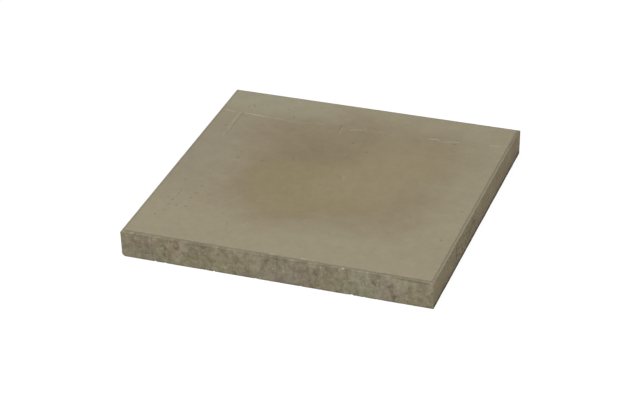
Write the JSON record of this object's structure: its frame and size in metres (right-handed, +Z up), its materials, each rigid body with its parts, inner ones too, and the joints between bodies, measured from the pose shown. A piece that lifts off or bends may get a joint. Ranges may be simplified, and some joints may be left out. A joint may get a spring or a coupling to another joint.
{
  "type": "concrete paving slab",
  "caption": "Square pressed-concrete paving slab with a shallow bevel round its walking face, slightly undercut edge faces and worn bed corners; laid flat on a sand or mortar bed.",
  "frame": {"origin": "middle of the bed face, on the surface the slab lies on", "axes": "+Z up through the thickness to the walking face, +X to the right-hand edge, -Y to the front edge"},
  "size_m": [0.5, 0.5, 0.045],
  "materials": {
    "concrete": "matte grey-beige pressed concrete, smooth on the walking face and coarse on the edge faces"
  },
  "bodies": {
    "root": {"paving_slab": "concrete"}
  },
  "joints": []
}
